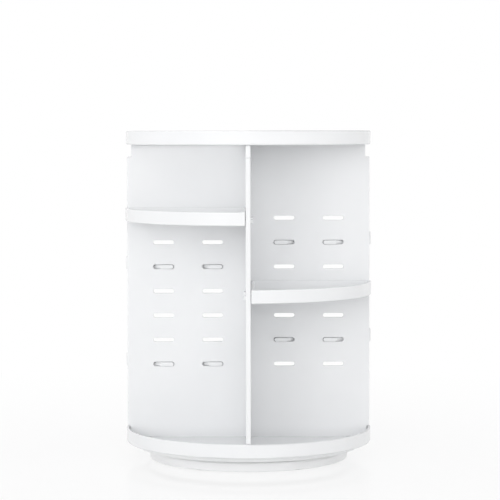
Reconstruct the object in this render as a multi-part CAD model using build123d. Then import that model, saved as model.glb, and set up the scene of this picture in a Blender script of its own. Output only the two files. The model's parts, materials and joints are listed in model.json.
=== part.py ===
from build123d import *
import os
from math import sqrt

# A round carousel for make-up: a low turntable, a lower tray, four upright boards that cross at the
# middle, quarter-circle shelves that hook into the boards, and an upper tray.
# Millimetres. The origin is on the table under the axis, +Z is up, and the front faces -Y.

# Round trays
tray_radius = 115.0
tray_wall = 2.3
tray_floor = 2.6
base_rim_height = 12.8
top_rim_height = 12.9
tray_bottom_round = 1.3
tray_inner_round = 1.5
rim_round = 0.8

# Opening for long brushes in the front left quarter of the upper tray
opening_margin = 6.0
opening_border = 6.5
opening_corner = 8.0
lip_wall = 2.0
lip_height = 3.0
lip_round = 0.6

# Boards
board_height = 276.2
board_thickness = 4.4
board_setback = 0.8
board_edge_round = 0.9
mitre_gap = 0.1
top_notch_depth = 4.0
top_notch_height = 11.3
rim_gap = 1.1
shoulder_gap = 0.2
notch_corner = 0.8
slot_edge_round = 0.5

# Tongues that hold the boards in the two round trays
tongue_width = 24.0
tongue_height = 2.4
tongue_corner = 0.8
tongue_gap = 0.15

# Slots of the boards, in rows above and below the middle of the board
slot_rows_each_way = 3
slot_pitch = 23.0
slot_length = 19.6
slot_height = 4.0
inner_column_radius = 33.8
outer_slot_inset = 34.2

# Quarter-circle shelves
shelf_overhang = 0.7
shelf_height = 12.2
shelf_wall = 2.2
shelf_floor = 2.4
shelf_gap = 0.35
shelf_corner = 1.6
shelf_inner_corner = 2.2
shelf_bottom_round = 1.1
shelf_inner_round = 1.2
shelf_rim_round = 0.6

# Tabs of the shelves, which go right through the slots and show on the far side of the boards
tab_proud = 2.0
tab_gap = 0.2
tab_end_gap = 0.4
tab_rise = 2.5
tab_edge_round = 0.4

# The quarter of each shelf, as its turn about the axis, and its row, counted from the middle row.
# Shelves on the two sides of a board hang in different rows, since their tabs fill the slots.
shelves = {
    "front_left_shelf": (180, 3),
    "front_right_shelf": (270, 0),
    "back_left_upper_shelf": (90, 1),
    "back_left_lower_shelf": (90, -3),
    "back_right_upper_shelf": (0, 2),
    "back_right_lower_shelf": (0, -2),
}

# Each board, as its turn about the axis
boards = {
    "right_board": 0,
    "back_board": 90,
    "left_board": 180,
    "front_board": 270,
}

# Lower disc of the turntable
ground_gap = 16.0
base_radius = 93.0
foot_proud = 0.8
base_height = 8.6
base_top_wall = 2.6
skirt_wall = 2.4
base_top_round = 2.3
base_bottom_round = 0.6
hub_radius = 14.0
hub_height = 4.2
rib_count = 12
rib_thickness = 1.6
rib_drop = 3.0
race_half_width = 5.0
race_drop = 1.8

# Feet
foot_count = 6
foot_radius = 6.5
foot_depth = 1.2
foot_gap = 0.1
foot_boss_wall = 1.9
foot_boss_setback = 1.5
foot_round = 0.4

# Ball bearing
ball_radius = 3.0
ball_count = 24
race_radius = 70.0
race_clearance = 0.08
cage_thickness = 1.6
cage_half_width = 5.6
cage_hole_gap = 0.2

# Upper plate of the turntable
plate_gap = 3.0
plate_radius = 104.0
plate_skirt_wall = 2.2
plate_skirt_gap = 1.9
plate_web = 2.2
plate_hub_radius = 16.0
plate_rib_count = 6
plate_edge_round = 0.5

# Pivot
post_radius = 7.0
post_fit = 0.06
post_play = 0.4
bush_wall = 2.6
bush_fit = 0.05
bush_flange_radius = 13.0
bush_flange = 1.2
washer_radius = 12.0
washer_thickness = 1.0
washer_gap = 0.35
washer_room = 0.6
pivot_screw_radius = 1.75
pivot_screw_reach = 10.2
pivot_head_radius = 3.8
pivot_head_height = 1.4
thread_gap = 0.05
drill_room = 0.4

# Screws that hold the plate under the lower tray
plate_screw_count = 4
plate_screw_circle = 45.0
plate_screw_radius = 1.5
plate_screw_reach = 5.0
plate_head_radius = 2.9
plate_head_height = 1.8
clearance_hole_gap = 0.2
screw_boss_wall = 2.5
recess_width = 0.8
recess_share = 1.1
head_round_share = 0.45

# Levels, from the table up
base_bottom = foot_proud
base_top = base_bottom + base_height
ball_level = base_top + plate_gap / 2
plate_bottom = base_top + plate_gap
plate_web_top = plate_bottom + plate_web
floor_top = ground_gap + tray_floor
top_tray_bottom = floor_top + board_height
middle_row = floor_top + board_height / 2
hub_bottom = base_top - hub_height
post_bottom = hub_bottom - post_play

# Reaches, from the axis out
board_reach = tray_radius - board_setback
shelf_radius = tray_radius + shelf_overhang
shelf_side = board_thickness / 2 + shelf_gap
slot_columns = (inner_column_radius, board_reach - outer_slot_inset)
bush_radius = post_radius + post_fit + bush_wall
foot_boss_radius = foot_radius + foot_gap + foot_boss_wall
foot_circle = base_radius - foot_boss_setback - foot_boss_radius
race_groove_radius = ball_radius + race_clearance
bottom_notch_height = base_rim_height - tray_floor + shoulder_gap

tolerance = 0.001
beyond = 1.0
upright = (Align.CENTER, Align.CENTER, Align.MIN)


def rod(radius, bottom, top):
    """An upright cylinder on the axis between two levels."""
    return Pos(0, 0, bottom) * Cylinder(radius, top - bottom, align=upright)


def tube(inner, outer, bottom, top):
    """An upright ring about the axis between two levels."""
    return rod(outer, bottom, top) - rod(inner, bottom - beyond, top + beyond)


def around(radius, count, first=0.0):
    """Places spread evenly round the axis."""
    return PolarLocations(radius, count, start_angle=first)


def circles(part, level, radius):
    """The circular edges of one radius at one level."""
    def wanted(edge):
        if edge.geom_type != GeomType.CIRCLE:
            return False
        return abs(edge.center().Z - level) < tolerance and abs(edge.radius - radius) < tolerance
    return part.edges().filter_by(wanted)


def dish(radius, height, bottom):
    """A round tray with rounded edges and no holes."""
    top = bottom + height
    inner_radius = radius - tray_wall
    body = rod(radius, bottom, top)
    body = fillet(circles(body, bottom, radius), tray_bottom_round)
    hollow = rod(inner_radius, bottom + tray_floor, top + beyond)
    hollow = fillet(circles(hollow, bottom + tray_floor, inner_radius), tray_inner_round)
    body = body - hollow
    rims = circles(body, top, radius) + circles(body, top, inner_radius)
    return fillet(rims, rim_round)


def quarter(side, radius, corner):
    """A quarter of a circle set back from both axes, with rounded corners, in the +X +Y quarter."""
    end = sqrt(radius**2 - side**2)
    middle = radius / sqrt(2)
    outline = [
        Line((side, side), (end, side)),
        ThreePointArc((end, side), (middle, middle), (side, end)),
        Line((side, end), (side, side)),
    ]
    face = make_face(outline)
    return fillet(face.vertices(), corner)


def block(face, bottom, top):
    """A flat shape raised between two levels."""
    return extrude(Pos(0, 0, bottom) * face, amount=top - bottom)


def tongue_slots(bottom):
    """Everything that the tongues of the four boards need cut out of a tray's floor."""
    length = tongue_width + 2 * tongue_gap
    width = board_thickness + 2 * tongue_gap
    height = tray_floor + 2 * beyond
    cut = Box(length, width, height, align=upright)
    places = [
        Rot(0, 0, turn) * Pos(column, 0, bottom - beyond) * cut
        for turn in boards.values()
        for column in slot_columns
    ]
    return Part() + places


def base_tray():
    """The lower tray, with the bosses that take the plate's screws."""
    body = dish(tray_radius, base_rim_height, ground_gap)
    boss = rod(plate_screw_radius + screw_boss_wall, plate_web_top, ground_gap + tray_floor / 2)
    bore = rod(
        plate_screw_radius + thread_gap,
        plate_web_top - beyond,
        plate_bottom + plate_screw_reach + drill_room,
    )
    body += [place * boss for place in screw_places()]
    body -= [place * bore for place in screw_places()]
    return body - tongue_slots(ground_gap)


def top_tray():
    """The upper tray, whose front left quarter is open for long brushes."""
    bottom = top_tray_bottom
    lip_top = bottom + tray_floor + lip_height
    opening_radius = tray_radius - tray_wall - opening_border
    outer_face = quarter(
        opening_margin - lip_wall, opening_radius + lip_wall, opening_corner + lip_wall
    )
    opening_face = quarter(opening_margin, opening_radius, opening_corner)
    lip = block(outer_face, bottom + tray_floor / 2, lip_top)
    lip -= block(opening_face, bottom, lip_top + beyond)
    lip = fillet(lip.edges().group_by(Axis.Z)[-1], lip_round)
    body = dish(tray_radius, top_rim_height, bottom)
    body -= Rot(0, 0, 180) * block(opening_face, bottom - beyond, lip_top)
    body += Rot(0, 0, 180) * lip
    return body - tongue_slots(bottom)


def board_outline():
    """The flat shape of a board standing on +X: its notches, tongues and slots."""
    level = floor_top
    low_reach = tray_radius - tray_wall - rim_gap
    high_reach = board_reach - top_notch_depth
    shoulder_low = level + bottom_notch_height
    shoulder_high = level + board_height - top_notch_height
    top = level + board_height
    face = make_face(
        Polyline(
            (0, level),
            (low_reach, level),
            (low_reach, shoulder_low),
            (board_reach, shoulder_low),
            (board_reach, shoulder_high),
            (high_reach, shoulder_high),
            (high_reach, top),
            (0, top),
            close=True,
        )
    )
    outer_corners = [v for v in face.vertices() if v.X > tolerance]
    face = fillet(outer_corners, notch_corner)
    tongue = RectangleRounded(tongue_width, 2 * tongue_height, tongue_corner)
    face += [Pos(column, edge) * tongue for column in slot_columns for edge in (level, top)]
    slot = SlotOverall(slot_length, slot_height)
    rows = range(-slot_rows_each_way, slot_rows_each_way + 1)
    face -= [
        Pos(column, middle_row + row * slot_pitch) * slot for column in slot_columns for row in rows
    ]
    return face


def board():
    """A board standing on +X, mitred at the axis so that four of them meet there."""
    body = extrude(Plane.XZ * board_outline(), amount=board_thickness / 2, both=True)
    wedge_reach = tray_radius + beyond
    wedge = make_face(
        Polyline(
            (mitre_gap, 0),
            (mitre_gap + wedge_reach, wedge_reach),
            (mitre_gap + wedge_reach, -wedge_reach),
            close=True,
        )
    )
    body &= block(wedge, ground_gap - beyond, top_tray_bottom + tray_floor + beyond)
    outer_edges = body.edges().filter_by(Axis.Z).group_by(Axis.X)[-1]
    body = fillet(outer_edges, board_edge_round)
    return fillet(slot_rims(body), slot_edge_round)


def slot_rims(body):
    """The edges of a board's slots on its two faces."""
    face_reach = board_thickness / 2
    rims = []
    for face in body.faces().filter_by(Axis.Y):
        if abs(abs(face.center().Y) - face_reach) < tolerance:
            rims += [edge for wire in face.inner_wires() for edge in wire.edges()]
    return rims


def shelf(level):
    """A quarter-circle shelf in the +X +Y quarter whose underside is at this level."""
    face = quarter(shelf_side, shelf_radius, shelf_corner)
    hollow_face = quarter(shelf_side + shelf_wall, shelf_radius - shelf_wall, shelf_inner_corner)
    top = level + shelf_height
    body = block(face, level, top)
    body = fillet(body.edges().group_by(Axis.Z)[0], shelf_bottom_round)
    hollow = block(hollow_face, level + shelf_floor, top + beyond)
    hollow = fillet(hollow.edges().group_by(Axis.Z)[0], shelf_inner_round)
    body = body - hollow
    body = fillet(body.edges().group_by(Axis.Z)[-1], shelf_rim_round)
    return body + shelf_tabs(level + tab_rise)


def shelf_tab():
    """A tab that points to -Y from a slot's middle, slanted so that it leaves along the diagonal."""
    root = board_thickness / 2
    start = shelf_side + shelf_wall / 2
    depth = start + root + tab_proud
    length = slot_length - 2 * tab_end_gap
    height = slot_height - 2 * tab_gap
    start_plane = Plane.XZ.offset(-start)
    straight = extrude(start_plane * SlotOverall(length, height), amount=depth)
    slanted_end = Pos(start - root - length / 2, 0) * SlotOverall(2 * length, height)
    slanted = extrude(start_plane * slanted_end, amount=depth * sqrt(2), dir=(-1, -1, 0))
    tab = straight & slanted
    return fillet(tab.edges().group_by(Axis.Y)[0], tab_edge_round)


def shelf_tabs(level):
    """The tabs of a shelf: one for each slot column, along both of its straight sides."""
    tab = shelf_tab()
    along_x = [Pos(column, 0, level) * tab for column in slot_columns]
    diagonal = Plane(origin=(0, 0, 0), z_dir=(1, -1, 0))
    along_y = [mirror(one, about=diagonal) for one in along_x]
    return along_x + along_y


def screw_places():
    """Places of the plate's screws, one in the middle of each quarter."""
    return around(plate_screw_circle, plate_screw_count, 180 / plate_screw_count)


def screw(radius, head_radius, head_height, head_top, reach):
    """A screw driven upwards: a rounded head with a crossed recess below, and a plain shank."""
    head_bottom = head_top - head_height
    head = rod(head_radius, head_bottom, head_top)
    head = fillet(circles(head, head_bottom, head_radius), head_height * head_round_share)
    bar = Box(head_radius * recess_share, recess_width, head_height, align=upright)
    recess = Pos(0, 0, head_bottom - head_height / 2) * (bar + Rot(0, 0, 90) * bar)
    return head - recess + rod(radius, head_top, head_top + reach)


def turntable_base():
    """The lower disc: a plate with a skirt, ribs, foot bosses, the lower race and the hub."""
    web_bottom = base_top - base_top_wall
    body = rod(base_radius, web_bottom, base_top)
    body += tube(base_radius - skirt_wall, base_radius, base_bottom, base_top)
    race_inside = race_radius - race_half_width
    race_outside = race_radius + race_half_width
    body += tube(race_inside, race_outside, web_bottom - race_drop, base_top)
    body += rod(hub_radius, hub_bottom, base_top)
    rib_length = base_radius - skirt_wall / 2 - hub_radius / 2
    rib = Box(rib_length, rib_thickness, rib_drop, align=(Align.MIN, Align.CENTER, Align.MAX))
    rib = Pos(hub_radius / 2, 0, web_bottom + tolerance) * rib
    body += [Rot(0, 0, 360 * i / rib_count) * rib for i in range(rib_count)]
    foot_places = around(foot_circle, foot_count)
    boss = rod(foot_boss_radius, base_bottom, web_bottom + tolerance)
    body += [place * boss for place in foot_places]
    pocket = rod(foot_radius + foot_gap, base_bottom - beyond, base_bottom + foot_depth)
    body -= [place * pocket for place in foot_places]
    body -= Pos(0, 0, ball_level) * Torus(race_radius, race_groove_radius)
    body -= rod(bush_radius + bush_fit, base_bottom - beyond, base_top + beyond)
    body -= rod(washer_radius + washer_room, base_bottom - beyond, hub_bottom)
    body = fillet(circles(body, base_top, base_radius), base_top_round)
    return fillet(circles(body, base_bottom, base_radius), base_bottom_round)


def foot_pads():
    """The round pads that the object stands on."""
    pad = rod(foot_radius, 0, base_bottom + foot_depth)
    pad = fillet(circles(pad, 0, foot_radius), foot_round)
    return Compound([place * pad for place in around(foot_circle, foot_count)])


def pivot_bush():
    """The flanged sleeve in the hub, in which the post turns."""
    body = rod(bush_radius, hub_bottom, base_top + bush_flange)
    body += rod(bush_flange_radius, base_top, base_top + bush_flange)
    return body - rod(post_radius + post_fit, hub_bottom - beyond, base_top + bush_flange + beyond)


def bearing_balls():
    """The balls between the two races."""
    ball = Pos(0, 0, ball_level) * Sphere(ball_radius)
    return Compound([place * ball for place in around(race_radius, ball_count)])


def ball_cage():
    """The flat ring that keeps the balls apart."""
    bottom = ball_level - cage_thickness / 2
    top = ball_level + cage_thickness / 2
    body = tube(race_radius - cage_half_width, race_radius + cage_half_width, bottom, top)
    hole = rod(ball_radius + cage_hole_gap, bottom - beyond, top + beyond)
    return body - [place * hole for place in around(race_radius, ball_count)]


def spinner_plate():
    """The upper plate: web, skirt, race ring, hub and ribs, with the pivot post below."""
    race_inside = race_radius - race_half_width
    race_outside = race_radius + race_half_width
    skirt_bottom = base_top + plate_skirt_gap
    body = rod(plate_radius, plate_bottom, plate_web_top)
    body += tube(plate_radius - plate_skirt_wall, plate_radius, skirt_bottom, ground_gap)
    body += tube(race_inside, race_outside, plate_bottom, ground_gap)
    body += rod(plate_hub_radius, plate_bottom, ground_gap)
    rib_length = plate_radius - (plate_skirt_wall + plate_hub_radius) / 2
    rib_height = ground_gap - plate_web_top
    rib = Box(rib_length, rib_thickness, rib_height, align=(Align.MIN, Align.CENTER, Align.MIN))
    rib = Pos(plate_hub_radius / 2, 0, plate_web_top) * rib
    body += [Rot(0, 0, 360 * i / plate_rib_count) * rib for i in range(plate_rib_count)]
    body += rod(post_radius, post_bottom, plate_bottom)
    bore_top = post_bottom + pivot_screw_reach - washer_thickness + drill_room
    body -= rod(pivot_screw_radius + thread_gap, post_bottom - beyond, bore_top)
    hole = rod(plate_screw_radius + clearance_hole_gap, plate_bottom - beyond, ground_gap)
    body -= [place * hole for place in screw_places()]
    body -= Pos(0, 0, ball_level) * Torus(race_radius, race_groove_radius)
    return fillet(circles(body, skirt_bottom, plate_radius), plate_edge_round)


def plate_screws():
    """The screws that hold the plate under the lower tray."""
    one = screw(
        plate_screw_radius, plate_head_radius, plate_head_height, plate_bottom, plate_screw_reach
    )
    return Compound([place * one for place in screw_places()])


def pivot_washer():
    """The washer that keeps the lower disc on the post."""
    hole_radius = pivot_screw_radius + washer_gap
    return tube(hole_radius, washer_radius, post_bottom - washer_thickness, post_bottom)


def pivot_screw():
    """The screw through the washer into the post."""
    head_top = post_bottom - washer_thickness
    return screw(
        pivot_screw_radius, pivot_head_radius, pivot_head_height, head_top, pivot_screw_reach
    )


def pieces():
    """Every piece of the object by name, where it sits."""
    found = {
        "turntable_base": turntable_base(),
        "foot_pads": foot_pads(),
        "pivot_bush": pivot_bush(),
        "bearing_balls": bearing_balls(),
        "ball_cage": ball_cage(),
        "spinner_plate": spinner_plate(),
        "spinner_screws": plate_screws(),
        "pivot_washer": pivot_washer(),
        "pivot_screw": pivot_screw(),
        "base_tray": base_tray(),
        "top_tray": top_tray(),
    }
    one_board = board()
    for name, turn in boards.items():
        found[name] = Rot(0, 0, turn) * one_board
    for name, (turn, row) in shelves.items():
        found[name] = Rot(0, 0, turn) * shelf(middle_row + row * slot_pitch - tab_rise)
    return found


os.makedirs("parts", exist_ok=True)
for name, piece in pieces().items():
    export_step(piece, f"parts/{name}.step")
    print(name, round(piece.volume))
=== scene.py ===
"""Looks of a round make-up carousel: finishes, floor, light and camera."""

import json
import math

import bmesh
import bpy
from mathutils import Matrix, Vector


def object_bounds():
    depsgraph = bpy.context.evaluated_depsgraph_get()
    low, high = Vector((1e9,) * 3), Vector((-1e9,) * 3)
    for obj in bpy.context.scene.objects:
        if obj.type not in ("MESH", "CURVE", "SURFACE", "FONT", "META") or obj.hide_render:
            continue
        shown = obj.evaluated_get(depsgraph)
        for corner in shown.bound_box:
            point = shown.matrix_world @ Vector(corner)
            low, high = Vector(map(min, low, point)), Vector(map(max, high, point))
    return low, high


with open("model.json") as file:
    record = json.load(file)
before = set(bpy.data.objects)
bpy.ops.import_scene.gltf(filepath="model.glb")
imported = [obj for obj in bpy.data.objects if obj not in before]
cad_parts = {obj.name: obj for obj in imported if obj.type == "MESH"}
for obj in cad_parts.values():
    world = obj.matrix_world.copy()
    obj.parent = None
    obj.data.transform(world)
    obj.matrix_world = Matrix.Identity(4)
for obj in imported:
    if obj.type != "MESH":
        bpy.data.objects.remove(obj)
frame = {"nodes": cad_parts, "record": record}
cad_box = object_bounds()

# Everything is in metres, in the frame of the model

# Camera: seen from the front, level with the rim of the upper tray
PICTURE_SIDE = 500
FOCAL_PIXELS = 1960.0
HORIZON_ROW = 133.27
SENSOR = 36.0
CAMERA_PLACE = (0.00174, -1.8465, 0.3053)
CAMERA_PITCH = math.radians(2.2)
CAMERA_ROLL = math.radians(0.09)

# Floor: its size, its finish, and the light it gives by itself under the object and further out
FLOOR_RADIUS = 9.0
FLOOR_SIDES = 128
FLOOR_GREY = 0.86
FLOOR_GLOSS = 0.08
FLOOR_IOR = 1.15
FLOOR_LIGHT_UNDER = 0.4
FLOOR_LIGHT_OPEN = 0.05
LIGHT_FADE_START = 0.08
LIGHT_FADE_END = 0.09

# Floor as it is seen: lifted a little, and fading into the white backdrop
FLOOR_LIFT = 0.2
FLOOR_WHITE_NEAR = 0.6
FLOOR_WHITE_FAR = 1.0
WHITE_FADE_START = 0.20
WHITE_FADE_END = 0.70

# Light from all round: its even strength, and what is added at the horizon and fades upwards
WORLD_LIGHT = 0.465
WORLD_LOW_LIGHT = 1.59
WORLD_LOW_REACH = 0.6

# Soft lamps: the place, the size and the power in watts of each
LAMPS = {
    "key": ((-0.9, -1.9, 0.3), 0.8, 4.5),
    "front": ((0.0, -2.1, 1.5), 1.2, 3.8),
    "back": ((0.7, 1.9, 1.1), 1.4, 1.8),
    "left": ((-1.1, -1.7, 0.9), 1.2, 2.4),
    "low front": ((0.0, -2.3, 0.7), 0.8, 2.5),
}

# Moulded plastic: each noise has its waves per metre, and then its share or its depth
PLASTIC_IOR = 1.53
CLOUD_SCALE = 14.0
SPECK_SCALE = 1900.0
SPECK_SHARE = 0.15
TINT_START = 0.35
TINT_END = 0.75
SMUDGE_SCALE = 38.0
SMUDGE_SHARE = 0.7
HAIR_STRETCH = (220.0, 26.0, 220.0)
HAIR_SCALE = 3.0
HAIR_SHARE = 0.3
WAVE_SCALE = 42.0
WAVE_DEPTH = 0.00006
PEEL_SCALE = 760.0

# Marks that the ejector pins of the mould leave on the undersides
PIN_SPACING = 0.027
PIN_RADIUS = 0.0026
PIN_EDGE = 0.00025
PIN_DEPTH = 0.00012
UNDERSIDE = -0.9

# Rubber
RUBBER_IOR = 1.5
GRAIN_SCALE = 1500.0
GRAIN_DEPTH = 0.00006
RUBBER_CLOUD_SCALE = 90.0

# Steel: fine marks that run across it
STEEL_STRETCH = (3000.0, 3000.0, 160.0)
STEEL_CLOUD_SCALE = 240.0

# Finishes: the lighter and the darker tint, the range of roughness, and the depth of the fine marks
PLASTICS = {
    "white_shell": ((0.868, 0.875, 0.885), (0.838, 0.847, 0.858), (0.22, 0.27), 0.000006),
    # The turntable's tint is set lighter than the white shell's; that extra lightness is painted
    # light that brightens the shaded disc and gap under the tray
    "turntable_shell": ((0.92, 0.925, 0.93), (0.89, 0.895, 0.90), (0.30, 0.37), 0.000006),
    "cage_plastic": ((0.74, 0.73, 0.68), (0.69, 0.68, 0.63), (0.42, 0.56), 0.00002),
    "bush_plastic": ((0.80, 0.78, 0.72), (0.75, 0.73, 0.67), (0.38, 0.50), 0.00001),
}
RUBBERS = {
    "foot_rubber": ((0.54, 0.54, 0.54), (0.44, 0.44, 0.45), (0.62, 0.86), GRAIN_DEPTH),
}
STEELS = {
    "bearing_steel": ((0.80, 0.80, 0.82), (0.72, 0.72, 0.74), (0.05, 0.13), 0.000001),
    "screw_steel": ((0.66, 0.66, 0.67), (0.55, 0.55, 0.57), (0.22, 0.38), 0.000004),
}

# Sockets of the colour mixing node, whose names repeat
MIX_SHARE = 0
MIX_FIRST = 6
MIX_SECOND = 7
MIX_COLOUR = 2


def set_inputs(node, **values):
    """Sets a node's inputs by name, with underscores for the spaces."""
    for name, value in values.items():
        node.inputs[name.replace("_", " ")].default_value = value


class Nodes:
    """A node tree, with short ways to add and join nodes."""

    def __init__(self, tree, output_kind):
        self.tree = tree
        self.tree.nodes.clear()
        self.output = self.add(output_kind)

    def add(self, kind, **settings):
        node = self.tree.nodes.new(kind)
        for name, value in settings.items():
            setattr(node, name, value)
        return node

    def join(self, start, end):
        self.tree.links.new(start, end)

    def place(self, scale=(1, 1, 1)):
        """The point on the object, stretched along its axes."""
        coordinates = self.add("ShaderNodeTexCoord")
        mapping = self.add("ShaderNodeMapping")
        set_inputs(mapping, Scale=scale)
        self.join(coordinates.outputs["Object"], mapping.inputs["Vector"])
        return mapping.outputs["Vector"]

    def noise(self, place, scale, detail=2.0, roughness=0.5, distortion=0.0):
        node = self.add("ShaderNodeTexNoise")
        set_inputs(node, Scale=scale, Detail=detail, Roughness=roughness, Distortion=distortion)
        self.join(place, node.inputs["Vector"])
        return node.outputs["Fac"]

    def spread(self, value, low, high, start=0.3, end=0.7):
        """A value from start to end, spread from low to high."""
        node = self.add("ShaderNodeMapRange")
        set_inputs(node, From_Min=start, From_Max=end, To_Min=low, To_Max=high)
        self.join(value, node.inputs["Value"])
        return node.outputs["Result"]

    def math(self, operation, first, second, clamp=False):
        node = self.add("ShaderNodeMath", operation=operation, use_clamp=clamp)
        for socket, value in zip(node.inputs, (first, second)):
            if isinstance(value, (int, float)):
                socket.default_value = value
            else:
                self.join(value, socket)
        return node.outputs["Value"]

    def blend(self, share, first, second):
        """A colour between two, by a share from 0 to 1."""
        node = self.add("ShaderNodeMix", data_type="RGBA")
        node.inputs[MIX_FIRST].default_value = (*first, 1)
        node.inputs[MIX_SECOND].default_value = (*second, 1)
        self.join(share, node.inputs[MIX_SHARE])
        return node.outputs[MIX_COLOUR]

    def bump(self, height, distance, under=None):
        node = self.add("ShaderNodeBump")
        set_inputs(node, Distance=distance)
        self.join(height, node.inputs["Height"])
        if under is not None:
            self.join(under, node.inputs["Normal"])
        return node.outputs["Normal"]

    def shader(self, **values):
        """The main surface shader."""
        node = self.add("ShaderNodeBsdfPrincipled")
        set_inputs(node, **values)
        self.join(node.outputs["BSDF"], self.output.inputs["Surface"])
        return node

    def mix(self, share, first, second):
        """A shader between two, by a share from 0 to 1."""
        node = self.add("ShaderNodeMixShader")
        for socket, value in zip(node.inputs, (share, first, second)):
            self.join(value, socket)
        return node.outputs["Shader"]

    def pin_marks(self):
        """1 inside round marks in rows on surfaces that face down, and 0 elsewhere."""
        grid = self.add("ShaderNodeTexVoronoi", voronoi_dimensions="2D")
        set_inputs(grid, Scale=1 / PIN_SPACING, Randomness=0.0)
        self.join(self.place(), grid.inputs["Vector"])
        edges = [(PIN_RADIUS + side * PIN_EDGE) / PIN_SPACING for side in (-1, 1)]
        mark = self.spread(grid.outputs["Distance"], 1, 0, *edges)
        normal = self.add("ShaderNodeSeparateXYZ")
        self.join(self.add("ShaderNodeNewGeometry").outputs["Normal"], normal.inputs[0])
        below = self.math("LESS_THAN", normal.outputs["Z"], UNDERSIDE)
        return self.math("MULTIPLY", mark, below)

    def seen_rays(self):
        """1 for what the camera, gloss and glass show, and 0 for the rays that only light."""
        path = self.add("ShaderNodeLightPath")
        plain = self.math("ADD", path.outputs["Is Camera Ray"], path.outputs["Is Glossy Ray"])
        return self.math("ADD", plain, path.outputs["Is Transmission Ray"], clamp=True)


def new_material(name):
    """An empty material and its nodes."""
    material = bpy.data.materials.new(name)
    material.use_nodes = True
    return material, Nodes(material.node_tree, "ShaderNodeOutputMaterial")


def moulded_plastic(name, light, shade, gloss, peel):
    """Moulded plastic: cloudy tint, a fine orange peel, soft flow waves and faint rubbing marks."""
    material, nodes = new_material(name)
    shader = nodes.shader(IOR=PLASTIC_IOR)
    place = nodes.place()
    cloud = nodes.noise(place, CLOUD_SCALE, detail=3.0)
    speck = nodes.math("MULTIPLY", nodes.noise(place, SPECK_SCALE, detail=1.0), SPECK_SHARE)
    tint = nodes.spread(nodes.math("ADD", cloud, speck), 0, 1, TINT_START, TINT_END)
    nodes.join(nodes.blend(tint, shade, light), shader.inputs["Base Color"])
    smudge = nodes.noise(place, SMUDGE_SCALE, detail=5.0, roughness=0.62, distortion=0.4)
    hairs = nodes.noise(nodes.place(HAIR_STRETCH), HAIR_SCALE, detail=4.0, roughness=0.7)
    smudge = nodes.math("MULTIPLY", smudge, SMUDGE_SHARE)
    worn = nodes.math("ADD", smudge, nodes.math("MULTIPLY", hairs, HAIR_SHARE))
    nodes.join(nodes.spread(worn, *gloss), shader.inputs["Roughness"])
    waves = nodes.bump(nodes.noise(place, WAVE_SCALE, detail=1.0), WAVE_DEPTH)
    marks = nodes.bump(nodes.pin_marks(), PIN_DEPTH, under=waves)
    skin = nodes.bump(nodes.noise(place, PEEL_SCALE), peel, under=marks)
    nodes.join(skin, shader.inputs["Normal"])
    return material


def rubber(name, light, shade, gloss, depth):
    """Soft grey rubber with a fine matt grain."""
    material, nodes = new_material(name)
    shader = nodes.shader(IOR=RUBBER_IOR)
    place = nodes.place()
    grain = nodes.noise(place, GRAIN_SCALE, detail=4.0, roughness=0.7)
    cloud = nodes.noise(place, RUBBER_CLOUD_SCALE, detail=3.0)
    nodes.join(nodes.blend(cloud, shade, light), shader.inputs["Base Color"])
    nodes.join(nodes.spread(grain, *gloss), shader.inputs["Roughness"])
    nodes.join(nodes.bump(grain, depth), shader.inputs["Normal"])
    return material


def steel(name, light, shade, gloss, depth):
    """Bare or plated steel with fine marks that run across it."""
    material, nodes = new_material(name)
    shader = nodes.shader(Metallic=1.0)
    place = nodes.place()
    marks = nodes.noise(nodes.place(STEEL_STRETCH), 1.0, detail=4.0, roughness=0.7)
    cloud = nodes.noise(place, STEEL_CLOUD_SCALE, detail=3.0)
    nodes.join(nodes.blend(cloud, shade, light), shader.inputs["Base Color"])
    nodes.join(nodes.spread(marks, *gloss), shader.inputs["Roughness"])
    nodes.join(nodes.bump(marks, depth), shader.inputs["Normal"])
    return material


def dress_nodes():
    """Gives every piece of the model its finish."""
    finishes = {}
    for make, kinds in ((moulded_plastic, PLASTICS), (rubber, RUBBERS), (steel, STEELS)):
        for name, looks in kinds.items():
            finishes[name] = make(name, *looks)
    for part in frame["record"]["subparts"]:
        node = frame["nodes"][part["node"]]
        node.data.materials.clear()
        node.data.materials.append(finishes[part["material_slot"]])


def floor_material():
    """Glossy white, seen more and more as plain white further out, and clear from below."""
    material, nodes = new_material("pale_floor")
    shader = nodes.shader(
        Base_Color=(FLOOR_GREY, FLOOR_GREY, FLOOR_GREY, 1),
        Roughness=FLOOR_GLOSS,
        IOR=FLOOR_IOR,
        Emission_Color=(1, 1, 1, 1),
    )
    seen = nodes.seen_rays()
    length = nodes.add("ShaderNodeVectorMath", operation="LENGTH")
    nodes.join(nodes.place(), length.inputs[0])
    far = length.outputs["Value"]
    light = nodes.spread(far, FLOOR_LIGHT_UNDER, FLOOR_LIGHT_OPEN, LIGHT_FADE_START, LIGHT_FADE_END)
    unseen_light = nodes.math("MULTIPLY", light, nodes.math("SUBTRACT", 1.0, seen))
    glow = nodes.math("ADD", unseen_light, nodes.math("MULTIPLY", seen, FLOOR_LIFT))
    nodes.join(glow, shader.inputs["Emission Strength"])
    white = nodes.add("ShaderNodeEmission")
    share = nodes.spread(far, FLOOR_WHITE_NEAR, FLOOR_WHITE_FAR, WHITE_FADE_START, WHITE_FADE_END)
    share = nodes.math("MULTIPLY", share, seen)
    surface = nodes.mix(share, shader.outputs["BSDF"], white.outputs["Emission"])
    below = nodes.add("ShaderNodeNewGeometry").outputs["Backfacing"]
    clear = nodes.add("ShaderNodeBsdfTransparent")
    surface = nodes.mix(below, surface, clear.outputs["BSDF"])
    nodes.join(surface, nodes.output.inputs["Surface"])
    return material


def make_floor():
    """A round pale floor."""
    shape = bmesh.new()
    bmesh.ops.create_circle(shape, cap_ends=True, segments=FLOOR_SIDES, radius=FLOOR_RADIUS)
    mesh = bpy.data.meshes.new("floor")
    shape.to_mesh(mesh)
    shape.free()
    mesh.materials.append(floor_material())
    floor = bpy.data.objects.new("floor", mesh)
    bpy.context.scene.collection.objects.link(floor)


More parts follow.
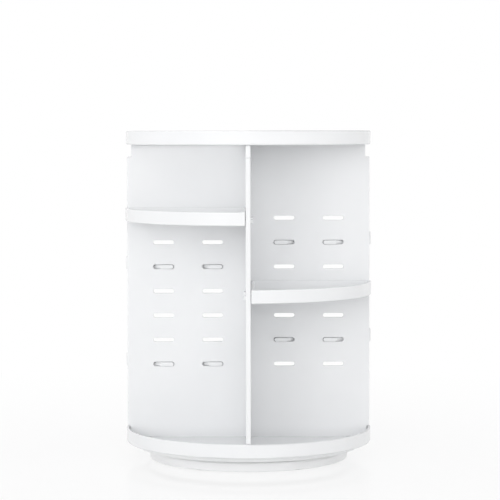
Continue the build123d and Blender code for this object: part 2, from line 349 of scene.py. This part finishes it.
def make_world():
    """A white backdrop for the camera, and an even soft light for the object."""
    world = bpy.data.worlds.new("studio")
    bpy.context.scene.world = world
    world.use_nodes = True
    nodes = Nodes(world.node_tree, "ShaderNodeOutputWorld")
    background = nodes.add("ShaderNodeBackground")
    set_inputs(background, Color=(1, 1, 1, 1))
    direction = nodes.add("ShaderNodeSeparateXYZ")
    nodes.join(nodes.add("ShaderNodeTexCoord").outputs["Generated"], direction.inputs[0])
    low = nodes.spread(direction.outputs["Z"], WORLD_LOW_LIGHT, 0.0, 0.0, WORLD_LOW_REACH)
    light = nodes.math("ADD", low, WORLD_LIGHT)
    seen = nodes.seen_rays()
    unseen = nodes.math("SUBTRACT", 1.0, seen)
    strength = nodes.math("ADD", nodes.math("MULTIPLY", light, unseen), seen)
    nodes.join(strength, background.inputs["Strength"])
    nodes.join(background.outputs["Background"], nodes.output.inputs["Surface"])


def make_lamps():
    """Square soft lamps that gloss doesn't show, all turned to the middle of the object."""
    middle = (cad_box[0] + cad_box[1]) / 2
    for name, (place, size, power) in LAMPS.items():
        data = bpy.data.lights.new(name, "AREA")
        data.size = size
        data.energy = power
        lamp = bpy.data.objects.new(name, data)
        lamp.location = place
        lamp.visible_glossy = False
        lamp.rotation_euler = (middle - Vector(place)).to_track_quat("-Z", "Y").to_euler()
        bpy.context.scene.collection.objects.link(lamp)


def make_camera():
    """A long lens, shifted so that the upright edges stay nearly parallel."""
    data = bpy.data.cameras.new("camera")
    data.sensor_width = SENSOR
    data.lens = FOCAL_PIXELS / PICTURE_SIDE * SENSOR
    horizon_above_middle = PICTURE_SIDE / 2 - HORIZON_ROW
    data.shift_y = (FOCAL_PIXELS * math.tan(CAMERA_PITCH) - horizon_above_middle) / PICTURE_SIDE
    camera = bpy.data.objects.new("camera", data)
    camera.location = CAMERA_PLACE
    camera.rotation_euler = (math.pi / 2 - CAMERA_PITCH, CAMERA_ROLL, 0)
    bpy.context.scene.collection.objects.link(camera)
    bpy.context.scene.camera = camera


make_camera()
make_world()
make_lamps()
make_floor()
dress_nodes()
bpy.context.scene.view_settings.view_transform = "Standard"
